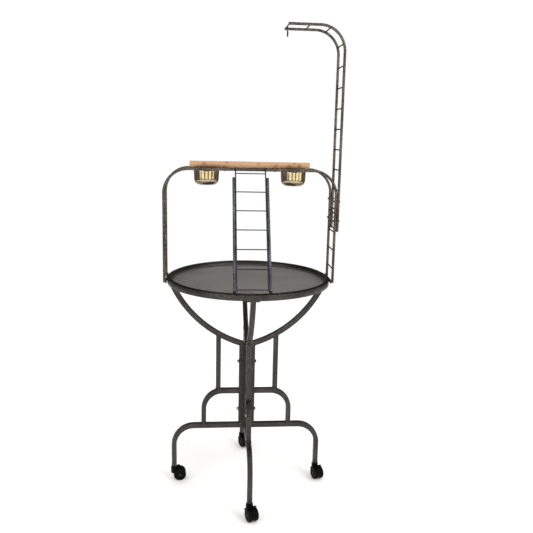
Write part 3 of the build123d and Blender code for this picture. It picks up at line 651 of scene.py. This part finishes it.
def base_welds():
    """Fillet welds where the square tubes of each panel meet, at places found on the panel itself."""
    tree = surface("base_panel_right")
    column = hits(tree, (COLUMN_X, BESIDE, RAY_FOOT_Z), (0, 0, 1), 8)
    # each hollow tube gives four hits: two on its lower wall, two on its upper wall
    leg_low, leg_top, arch_low, arch_top = (column[i].z for i in (0, 3, 4, 7))
    half = (leg_top - leg_low) / 2
    strut = hits(tree, (INSIDE_X, BESIDE, arch_top + 2 * half), (1, 0, 0), 4)
    arch_leg = hits(tree, (INSIDE_X, BESIDE, leg_top + half), (1, 0, 0), 4)
    strut_x = (strut[0].x + strut[3].x) / 2
    arch_leg_x = (arch_leg[0].x + arch_leg[3].x) / 2
    spine_x = hits(tree, (MIDDLE_X, BESIDE, leg_top + half), (-1, 0, 0), 1)[0].x
    outline = square_points(half + WELD_PROUD)

    def sweep_underside(x):
        return hits(tree, (x, BESIDE, arch_top + half * 2), (0, 0, 1), 1)[0].z

    reach = half + SLOPE_REACH
    inner_z = sweep_underside(strut_x - reach)
    outer_z = sweep_underside(strut_x + reach)
    slope = (outer_z - inner_z) / (2 * reach)
    loops = [[(strut_x + u, v, arch_top) for u, v in outline],
             [(arch_leg_x + u, v, leg_top) for u, v in outline],
             [(strut_x + u, v, (inner_z + outer_z) / 2 + slope * u) for u, v in outline]]
    for height in ((leg_low + leg_top) / 2, (arch_low + arch_top) / 2):
        loops.append([(spine_x, u, height + v) for u, v in outline])
    piece = Piece()
    ring_low, ring_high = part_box("ring")
    bead_z = ring_low.z - TAB - WELD_PROUD
    for angle in PANEL_ANGLES:
        turn = Matrix.Rotation(math.radians(angle), 4, "Z")
        for loop in loops:
            piece.add(*weld_line(loop, BASE_BEAD, closed=True), turn)
        for side in (-1, 1):
            ends = [(ring_high.x - inward, side * (half + TAB_BESIDE), bead_z) for inward in TAB_BEAD]
            piece.add(*weld_line(ends, BASE_BEAD), turn)
    piece.build("welds_base", "stand", [WELD_PAINT], "frame_paint")


RUNG_INSET = 0.7 * MM        # the rings of weld lie this far in from a rung's ends
STRAP_INSET = 1.0 * MM       # beads stop, or lie, this far in from a strap's edges
CUP_RING_INSET = 0.4 * MM    # and this far in from the upper and lower side of a cup ring
CUP_RING_HALF = 7 * MM       # half the length of a bead between a cup ring's lug and a rail
CUP_RING_SUNK = 0.2 * MM     # such a bead's middle lies this far inside the rail
PLATE_INSET = 1 * MM         # from a foot plate's lower and upper edge
PLATE_SHARE = 0.62           # a foot plate's beads lie this share of the rail's radius beside its axis
LADDER_INSET = 0.6 * MM      # from the ends of a ladder rung
ROD_IN_Y, ROD_IN_Z = 4.2 * MM, 3 * MM    # from the corners of a side rod's box in to its end's middle
TACK_BESIDE = 1.6 * MM       # from the line between wire and rod out to each tack


def rung_welds():
    """A ring of weld at both ends of every cross rung of the arch and the pole."""
    for name, node in (("welds_arch_rungs", "arch_rungs"), ("welds_pole_rungs", "pole_rungs")):
        piece = Piece()
        for low, high in islands(node):
            middle = (low + high) / 2
            for y in (low.y + RUNG_INSET, high.y - RUNG_INSET):
                loop = circle_points((middle.x, y, middle.z), (0, 1, 0), RUNG_LOOP)
                piece.add(*weld_line(loop, RUNG_BEAD, closed=True))
        piece.build(name, "stand", [WELD_PAINT], "frame_paint")


def arch_welds():
    """Short beads at the perch straps, the cup rings and the foot plates."""
    piece = Piece()
    for low, high in islands("perch_straps"):
        for y in (low.y + STRAP_INSET, high.y - STRAP_INSET):
            for z in (low.z, high.z):
                ends = [(low.x + STRAP_INSET, y, z), (high.x - STRAP_INSET, y, z)]
                piece.add(*weld_line(ends, STRAP_BEAD))
    rail_low, rail_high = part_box("arch_rail_front")
    rail_y = abs(rail_low.y + rail_high.y) / 2
    rail_r = (rail_high.y - rail_low.y) / 2
    for side in ("left", "right"):
        low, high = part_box("cup_ring_" + side)
        middle = (low + high) / 2
        for y_side in (-1, 1):
            y = y_side * (rail_y - rail_r + CUP_RING_SUNK)
            for z in (low.z + CUP_RING_INSET, high.z - CUP_RING_INSET):
                ends = [(middle.x - CUP_RING_HALF, y, z), (middle.x + CUP_RING_HALF, y, z)]
                piece.add(*weld_line(ends, CUP_RING_BEAD))
        plate_low, plate_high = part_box("foot_plate_" + side)
        inner_x = plate_high.x if side == "right" else plate_low.x
        for y_side in (-1, 1):
            for edge in (-1, 1):
                y = y_side * rail_y + edge * rail_r * PLATE_SHARE
                ends = [(inner_x, y, plate_low.z + PLATE_INSET), (inner_x, y, plate_high.z - PLATE_INSET)]
                piece.add(*weld_line(ends, PLATE_BEAD))
    piece.build("welds_arch", "stand", [WELD_PAINT], "frame_paint")


def ladder_welds():
    """Beads where the rungs meet the wires, and tacks between each wire and its side rod."""
    piece = Piece()
    for low, high in islands("ladder_rungs"):
        middle = (low + high) / 2
        for x in (low.x + LADDER_INSET, high.x - LADDER_INSET):
            loop = circle_points((x, middle.y, middle.z), (1, 0, 0), LADDER_LOOP)
            piece.add(*weld_line(loop, LADDER_BEAD, closed=True))
    for side, sign in (("left", -1), ("right", 1)):
        low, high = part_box("ladder_rod_" + side)
        x = low.x if sign > 0 else high.x
        top = Vector((x, high.y - ROD_IN_Y, high.z - ROD_IN_Z))
        bottom = Vector((x, low.y + ROD_IN_Y, low.z + ROD_IN_Z))
        along = (bottom - top).normalized()
        across = Vector((0, -along.z, along.y))
        for share in TACK_SHARES:
            for face in (-1, 1):
                start = top.lerp(bottom, share) + across * face * TACK_BESIDE
                piece.add(*weld_line([start, start + along * TACK_LENGTH], TACK_BEAD))
    piece.build("welds_ladder", "ladder", [WELD_PAINT], "ladder_paint")


# ---- perch ----------------------------------------------------------------------------------
# place along the perch from its middle in metres, turn about it in radians, size in mm
KNOTS = [(-0.172, 3.0, 4.2), (-0.088, 2.5, 3.0), (-0.030, 0.4, 4.0), (0.032, 2.8, 2.8), (0.098, 3.1, 2.6),
         (0.148, 3.5, 5.2), (0.186, 3.2, 4.6), (0.166, 2.5, 3.2), (-0.125, -1.2, 3.6)]
PERCH_ROWS, PERCH_SIDES = 240, 56
PERCH_EASE = 2.2 * MM
PERCH_ROOM = 0.25 * MM       # left between the wood and the solid's own surface
EASE_DEPTH = 0.8             # depth of the eased ends, as a share of their length
# waves in the turned surface: height, radians per metre along it, times round it, start in radians
PERCH_WAVES = ((0.10 * MM, 31, 2, 0.0), (0.06 * MM, 83, -3, 1.3))
KNOT_STRETCH = 1.5           # a knot's length against its width
KNOT_COLLAR = 0.28 * MM      # height of the raised grain round a knot
KNOT_DIP = 0.35 * MM         # depth of a knot's middle
HALO_TONE = 0.55             # darkness of the ring round a knot, against the knot's own
PERCH_SINK = 0.12 * MM       # the surface between knots lies this much lower
PERCH_PROUD = 0.2 * MM       # the most that the grain may stand out


def hump(value, centre, sharpness):
    """A bell curve of height 1."""
    return math.exp(-((value - centre) * sharpness) ** 2)


def perch():
    """Turned dowel: eased ends, a slightly uneven surface, and knots with raised grain round them."""
    low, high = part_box("perch")
    middle = (low + high) / 2
    radius = (high.z - low.z) / 2 - PERCH_ROOM
    rows, sides, ease = PERCH_ROWS, PERCH_SIDES, PERCH_EASE
    length = high.x - low.x
    verts, marks = [(low.x, middle.y, middle.z)], [0.0]
    for k in range(rows + 1):
        share = k / rows
        x = low.x + length * share
        from_end = min(x - low.x, high.x - x)
        bite = max(0.0, 1 - from_end / ease)
        r = radius - ease * EASE_DEPTH * (1 - math.sqrt(max(0.0, 1 - bite * bite)))
        for i in range(sides):
            turn = 2 * math.pi * i / sides
            wobble = sum(size * math.sin(along * x + around * turn + start)
                         for size, along, around, start in PERCH_WAVES)
            mark = 0.0
            swell = 0.0
            for knot_x, knot_turn, size in KNOTS:
                apart = (turn - knot_turn + math.pi) % (2 * math.pi) - math.pi
                reach = math.hypot((x - middle.x - knot_x) / KNOT_STRETCH, apart * radius) / (size * MM)
                core = hump(reach, 0.0, 1.5)
                halo = HALO_TONE * hump(reach, 1.0, 3.2)
                mark = max(mark, core, halo)
                swell += KNOT_COLLAR * hump(reach, 0.9, 2.2) - KNOT_DIP * core
            rr = min(r + wobble + swell - PERCH_SINK, radius + PERCH_PROUD)
            verts.append((x, middle.y + rr * math.cos(turn), middle.z + rr * math.sin(turn)))
            marks.append(mark)
    last = len(verts)
    verts.append((high.x, middle.y, middle.z))
    marks.append(0.0)
    faces = []
    for i in range(sides):
        j = (i + 1) % sides
        faces.append((0, 1 + j, 1 + i))
        for k in range(rows):
            a = 1 + k * sides
            faces.append((a + i, a + j, a + sides + j, a + sides + i))
        a = 1 + rows * sides
        faces.append((last, a + i, a + j))
    piece = Piece()
    piece.add(verts, faces)
    obj = piece.build("perch_dowel", "perch", [hardwood(middle.y, middle.z)], "wood", ("perch",))
    attribute = obj.data.attributes.new("knot", "FLOAT", "POINT")
    attribute.data.foreach_set("value", marks)


# ---- cups -----------------------------------------------------------------------------------
CUP_BEAD = 1.4 * MM          # radius of the rolled rim
CUP_FLARE = 2.5 * MM         # the wall leans out by this much
CUP_SHEET = 1.0 * MM
CUP_CORNER = 25 * MM         # reach of the round between foot and wall
CUP_BASE_R = 18.5 * MM       # radius of the ring that the cup stands on
CUP_DIMPLE_R = 15 * MM
CUP_DIMPLE = 1.2 * MM        # height of the pressed-in middle of the foot


def cup(side):
    """Spun bowl: rounded foot with a pressed ring, slightly flared wall and a rolled rim."""
    low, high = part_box("cup_" + side)
    middle = (low + high) / 2
    height = high.z - low.z - CUP_BEAD
    rim_r = (high.x - low.x) / 2 - 2 * CUP_BEAD + 0.7 * MM
    foot_r = rim_r - CUP_FLARE
    outline = [(0.0, CUP_DIMPLE), (CUP_DIMPLE_R, CUP_DIMPLE), (CUP_DIMPLE_R + 2 * MM, 0.4 * MM),
               (CUP_BASE_R, 0.0)]
    corner = round_corner((CUP_BASE_R, 0.0), (foot_r, 0.0), (rim_r, height), CUP_CORNER, 14)
    outline += [p for p in corner if p[0] > CUP_BASE_R + 0.5 * MM]
    wall_top = [(rim_r - 0.15 * MM, height - 6 * MM), (rim_r, height - 4.5 * MM)]
    roll = []
    for i in range(13):
        turn = math.radians(200 - 300 * i / 12)
        roll.append((rim_r + CUP_BEAD * (0.5 + math.cos(turn)), height + CUP_BEAD * math.sin(turn)))
    inner = []
    for r, z in reversed(outline[1:] + wall_top):
        lift = CUP_SHEET if z < 6 * MM else 0.35 * CUP_SHEET
        inner.append((r - CUP_SHEET, z + lift))
    profile = outline + wall_top + roll + inner + [(0.0, CUP_DIMPLE + CUP_SHEET)]
    verts, faces = lathe(profile, 128)
    piece = Piece()
    piece.add(verts, faces, Matrix.Translation((middle.x, middle.y, low.z)))
    piece.build("cup_bowl_" + side, "cup_" + side, [STEEL], "polished_steel", ("cup_" + side,))


# ---- fasteners ------------------------------------------------------------------------------
HEX_RADIUS = 5.8 * MM        # over the corners of the heads and nuts
HEX_CHAMFER = 0.5 * MM
HEAD_HEIGHT = 4 * MM
SHANK_RADIUS = 3 * MM
NUT_HEIGHT = 4.6 * MM
DOME_START = 4.4 * MM
DOME_RADIUS = 4.9 * MM
DOME_RISE = 3.6 * MM
WASHER_RADIUS = 9 * MM
WASHER_BORE = 3.2 * MM


def hexagon(radius, low, high, chamfer):
    """A hexagonal prism along Z with its top and bottom corners cut."""
    verts, faces = [], []
    levels = [(low, radius * 0.93), (low + chamfer, radius), (high - chamfer, radius), (high, radius * 0.90)]
    for height, r in levels:
        for i in range(6):
            turn = math.pi / 3 * i
            verts.append((r * math.cos(turn), r * math.sin(turn), height))
    for k in range(3):
        for i in range(6):
            j = (i + 1) % 6
            faces.append((k * 6 + i, k * 6 + j, k * 6 + 6 + j, k * 6 + 6 + i))
    faces.append(tuple(reversed(range(6))))
    faces.append(tuple(range(18, 24)))
    return verts, faces


def toward(centre, direction):
    """Matrix that takes Z to a direction at a place."""
    turn = Vector((0, 0, 1)).rotation_difference(Vector(direction)).to_matrix().to_4x4()
    return Matrix.Translation(centre) @ turn


def bolt_axis(low, high):
    """A centre bolt's direction, along X or Y."""
    return Vector((1, 0, 0)) if high.x - low.x > high.y - low.y else Vector((0, 1, 0))


def centre_bolts():
    """Hex heads, washers with eased rims, and acorn nuts of the centre post."""
    heads, nuts, washers = Piece(), Piece(), Piece()
    for low, high in islands("post_bolts"):
        middle = (low + high) / 2
        axis = bolt_axis(low, high)
        end = max(high.x, high.y)
        matrix = toward(Vector((0, 0, middle.z)) + axis * end, axis)
        heads.add(*hexagon(HEX_RADIUS, -HEAD_HEIGHT, 0.0, HEX_CHAMFER), matrix)
        start = min(low.x, low.y) - end
        shank = [(0.0, start), (SHANK_RADIUS - 0.4 * MM, start), (SHANK_RADIUS, start + 0.4 * MM),
                 (SHANK_RADIUS, -HEAD_HEIGHT), (0.0, -HEAD_HEIGHT)]
        heads.add(*lathe(shank, 24), matrix)
    heads.build("post_bolt_set", "stand", [SHADED_BOLT], "zinc", ("post_bolts",))
    for low, high in islands("post_dome_nuts"):
        middle = (low + high) / 2
        on_x = abs(middle.x) > abs(middle.y)
        place = Vector((high.x, 0, middle.z)) if on_x else Vector((0, high.y, middle.z))
        matrix = toward(place, (-1, 0, 0) if on_x else (0, -1, 0))
        nuts.add(*hexagon(HEX_RADIUS, 0.0, NUT_HEIGHT, HEX_CHAMFER), matrix)
        dome = [(0.0, DOME_START), (DOME_RADIUS, DOME_START)]
        for i in range(1, 8):
            turn = math.pi / 2 * i / 8
            dome.append((DOME_RADIUS * math.cos(turn), DOME_START + DOME_RISE * math.sin(turn)))
        nuts.add(*lathe(dome + [(0.0, DOME_START + DOME_RISE)], 32), matrix)
    nuts.build("post_acorn_nuts", "stand", [ZINC], "zinc", ("post_dome_nuts",))
    for low, high in islands("post_washers"):
        size = high - low
        axis = Vector((1, 0, 0)) if size.x < size.y else Vector((0, 1, 0))
        half = min(size.x, size.y) / 2
        flat = WASHER_RADIUS - 0.5 * MM
        profile = [(WASHER_BORE, -half), (flat, -half), (WASHER_RADIUS, -half * 0.4),
                   (WASHER_RADIUS, half * 0.4), (flat, half), (WASHER_BORE, half)]
        washers.add(*lathe(profile, 40), toward((low + high) / 2, axis))
    washers.build("post_washer_set", "stand", [SHADED_BOLT], "zinc", ("post_washers",))


SCREW_R = 2.0 * MM
SCREW_HEAD_R = 3.6 * MM
SCREW_HEAD = 2.2 * MM        # height of the head
SCREW_RECESS_R = 1.5 * MM
SCREW_RECESS = 1.0 * MM      # depth of the recess


def pan_screws():
    """Pan-head screws with a round recess that hold the toy pole to the posts."""
    piece = Piece()
    for low, high in islands("pole_screws"):
        middle = (low + high) / 2
        place = toward((high.x, middle.y, middle.z), (1, 0, 0))
        length = high.x - low.x
        shank = [(0.0, -length), (SCREW_R - 0.4 * MM, -length), (SCREW_R, -length + 0.5 * MM),
                 (SCREW_R, -SCREW_HEAD)]
        head = [(SCREW_HEAD_R, -SCREW_HEAD), (SCREW_HEAD_R, -1.4 * MM), (SCREW_HEAD_R - 0.5 * MM, -0.5 * MM),
                (2.2 * MM, -0.1 * MM), (SCREW_RECESS_R, 0.0)]
        recess = [(SCREW_RECESS_R - 0.4 * MM, -0.5 * MM), (0.0, -SCREW_RECESS)]
        piece.add(*lathe(shank + head + recess, 32), place)
    piece.build("pole_screw_set", "stand", [SHADED_BOLT], "zinc", ("pole_screws",))


# ---- casters --------------------------------------------------------------------------------
WHEEL_WIDTH = 16 * MM
TYRE_SHOULDER = 4.6 * MM
GROOVES = (-1.6 * MM, 1.6 * MM)      # places of the tread's grooves across the wheel
GROOVE_HALF = 0.7 * MM
GROOVE_FLOOR_HALF = 0.35 * MM
GROOVE_DEPTH = 0.8 * MM
HUB_RADIUS = 19.5 * MM
HUB_DISH = 2.4 * MM
BORE = 3.1 * MM
RIB_COUNT = 6


def arc_points(centre, radius, start, end, steps):
    """Points of an arc in 2-D, its angles in degrees."""
    points = []
    for i in range(steps + 1):
        turn = math.radians(start + (end - start) * i / steps)
        points.append((centre[0] + radius * math.cos(turn), centre[1] + radius * math.sin(turn)))
    return points


def wheel_mesh(piece, matrix, radius, width):
    """Tyre with rounded shoulders and two fine grooves, dished hub face with ribs and a domed cap."""
    half = width / 2
    tread = arc_points((radius - TYRE_SHOULDER, -half + TYRE_SHOULDER), TYRE_SHOULDER, -90, 0, 6)
    for groove in GROOVES:
        tread += [(radius, groove - GROOVE_HALF), (radius - GROOVE_DEPTH, groove - GROOVE_FLOOR_HALF),
                  (radius - GROOVE_DEPTH, groove + GROOVE_FLOOR_HALF), (radius, groove + GROOVE_HALF)]
    tread += arc_points((radius - TYRE_SHOULDER, half - TYRE_SHOULDER), TYRE_SHOULDER, 0, 90, 6)
    rim = HUB_RADIUS
    piece.add(*lathe([(rim, -half)] + tread + [(rim, half)], 72), matrix, 1)
    dish = half - HUB_DISH
    back = [(BORE, -half + 0.6 * MM), (rim - 0.6 * MM, -half + 0.6 * MM), (rim + 0.4 * MM, -half + 1.2 * MM)]
    edge = [(rim + 0.4 * MM, half - 0.5 * MM), (rim - 0.3 * MM, half - 0.2 * MM),
            (rim - 1.2 * MM, half - 0.4 * MM), (rim - 2.2 * MM, dish)]
    cap = [(8.6 * MM, dish), (8.0 * MM, half - 1.0 * MM), (7.2 * MM, half - 0.35 * MM),
           (4.0 * MM, half - 0.1 * MM), (BORE, half - 0.5 * MM)]
    piece.add(*lathe(back + edge + cap, 72), matrix, 0)
    rib = [(7.6 * MM, 0, dish), (10 * MM, 0, dish + 0.25 * MM),
           (15 * MM, 0, dish + 0.25 * MM), (17.6 * MM, 0, dish)]
    rib_radii = [1.3 * MM, 1.25 * MM, 1.1 * MM, 1.3 * MM]
    for i in range(RIB_COUNT):
        turn = Matrix.Rotation(2 * math.pi * i / RIB_COUNT, 4, "Z")
        piece.add(*tube_along(rib, rib_radii, 8), matrix @ turn, 0)


def casters():
    """Detailed wheels in place of the CAD wheels."""
    for name in SIDES:
        for side in "ab":
            body = "wheel_{}_{}".format(name, side)
            node = "caster_" + body
            low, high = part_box(node)
            middle = (low + high) / 2
            outward = (middle - Vector(JOINTS[body + "_roll"]["pos_m"])).normalized()
            piece = Piece()
            wheel_mesh(piece, toward(middle, outward), (high.z - low.z) / 2, WHEEL_WIDTH)
            piece.build(body + "_moulded", body, [WHEEL, TREAD], "wheel_plastic", (node,))


# ---- studio ---------------------------------------------------------------------------------
FLOOR_RADIUS = 3.6
FLOOR_RING = 1.5
WINDOW_AZIMUTH = -1.45
PANE_COUNT = 11.0
ROOM_DARK = (0.110, 0.092, 0.077, 1.0)
ROOM_WINDOW = (1.75, 1.55, 1.12, 1.0)
ROOM_CEILING = (0.62, 0.61, 0.60, 1.0)
MATT_LIGHT = 1.16
WINDOW_SPREAD = (0.20, 0.62)         # cosines between which the window wall fades in
PANE_EDGE = (-0.75, -0.35)
WINDOW_FOOT = (-0.30, -0.12)         # heights on the unit sphere
WINDOW_HEAD = (0.42, 0.55)
CEILING_EDGE = (0.62, 0.85)
# name, place, target, size, watts
LIGHTS = (("key", (2.4, -2.2, 3.0), (0, 0, 0.8), (2.2, 2.2), 62),
          ("fill", (-2.8, -2.0, 1.8), (0, 0, 0.9), (1.4, 2.4), 18))


def floor():
    """A wide pale disc for the stand to stand on."""
    verts, faces = lathe([(0.0, 0.0), (FLOOR_RING, 0.0), (FLOOR_RADIUS, 0.0)], 96)
    mesh = bpy.data.meshes.new("floor")
    mesh.from_pydata(verts, [], faces)
    mesh.materials.append(floor_paint())
    obj = bpy.data.objects.new("floor", mesh)
    bpy.context.scene.collection.objects.link(obj)


def area_light(name, place, target, size, watts):
    """A soft rectangular light that faces its target."""
    data = bpy.data.lights.new(name, "AREA")
    data.shape = "RECTANGLE"
    data.size, data.size_y = size
    data.energy = watts
    obj = bpy.data.objects.new(name, data)
    turn = (Vector(target) - Vector(place)).to_track_quat("-Z", "Y")
    obj.matrix_world = Matrix.Translation(place) @ turn.to_matrix().to_4x4()
    bpy.context.scene.collection.objects.link(obj)


def world_light():
    """White backdrop for the camera, even light for matt surfaces, and a room with windows to reflect."""
    world = bpy.data.worlds.new("studio")
    bpy.context.scene.world = world
    world.use_nodes = True
    world.node_tree.nodes.clear()
    w = Nodes(world.node_tree)

    def soft_step(value, low, high):
        node = w.add("ShaderNodeMapRange", interpolation_type="SMOOTHSTEP")
        w.feed(node.inputs["Value"], value)
        w.feed(node.inputs["From Min"], low)
        w.feed(node.inputs["From Max"], high)
        return node.outputs["Result"]

    axes = w.add("ShaderNodeSeparateXYZ")
    w.feed(axes.inputs["Vector"], w.add("ShaderNodeTexCoord").outputs["Generated"])
    x, y, z = (axes.outputs[name] for name in "XYZ")
    azimuth = w.math("ARCTAN2", y, x)
    facing = w.math("COSINE", w.math("SUBTRACT", azimuth, WINDOW_AZIMUTH))
    panes = w.math("SINE", w.math("MULTIPLY", azimuth, PANE_COUNT))
    window = w.math("MULTIPLY", soft_step(facing, *WINDOW_SPREAD), soft_step(panes, *PANE_EDGE))
    window = w.math("MULTIPLY", window, soft_step(z, *WINDOW_FOOT))
    window = w.math("MULTIPLY", window, w.math("SUBTRACT", 1.0, soft_step(z, *WINDOW_HEAD)))
    room = w.mix(window, ROOM_DARK, ROOM_WINDOW)
    room = w.mix(soft_step(z, *CEILING_EDGE), room, ROOM_CEILING)
    path = w.add("ShaderNodeLightPath")
    matt = w.mix(path.outputs["Is Diffuse Ray"], room, rgba(MATT_LIGHT, MATT_LIGHT, MATT_LIGHT))
    seen = w.mix(path.outputs["Is Camera Ray"], matt, rgba(1.0, 1.0, 1.0))
    background = w.add("ShaderNodeBackground")
    w.feed(background.inputs["Color"], seen)
    w.feed(w.add("ShaderNodeOutputWorld").inputs["Surface"], background.outputs["Background"])


def studio():
    """All the light there is, shown with no film look."""
    world_light()
    for light in LIGHTS:
        area_light(*light)
    bpy.context.scene.view_settings.view_transform = "Standard"


def camera():
    """The camera: turned by its yaw, then its pitch, then its roll."""
    data = bpy.data.cameras.new("camera")
    data.sensor_width = SENSOR
    data.lens = FOCAL_PIXELS / IMAGE_PIXELS * SENSOR
    obj = bpy.data.objects.new("camera", data)
    yaw = Matrix.Rotation(-CAMERA_YAW, 4, "Z")
    pitch = Matrix.Rotation(math.pi / 2 + CAMERA_PITCH, 4, "X")
    roll = Matrix.Rotation(CAMERA_ROLL, 4, "Z")
    obj.matrix_world = Matrix.Translation(CAMERA_PLACE) @ yaw @ pitch @ roll
    bpy.context.scene.collection.objects.link(obj)
    bpy.context.scene.camera = obj


camera()
studio()
floor()
paint_cad_nodes()
base_welds()
ease_edges()
rung_welds()
arch_welds()
ladder_welds()
perch()
cup("left")
cup("right")
centre_bolts()
pan_screws()
casters()
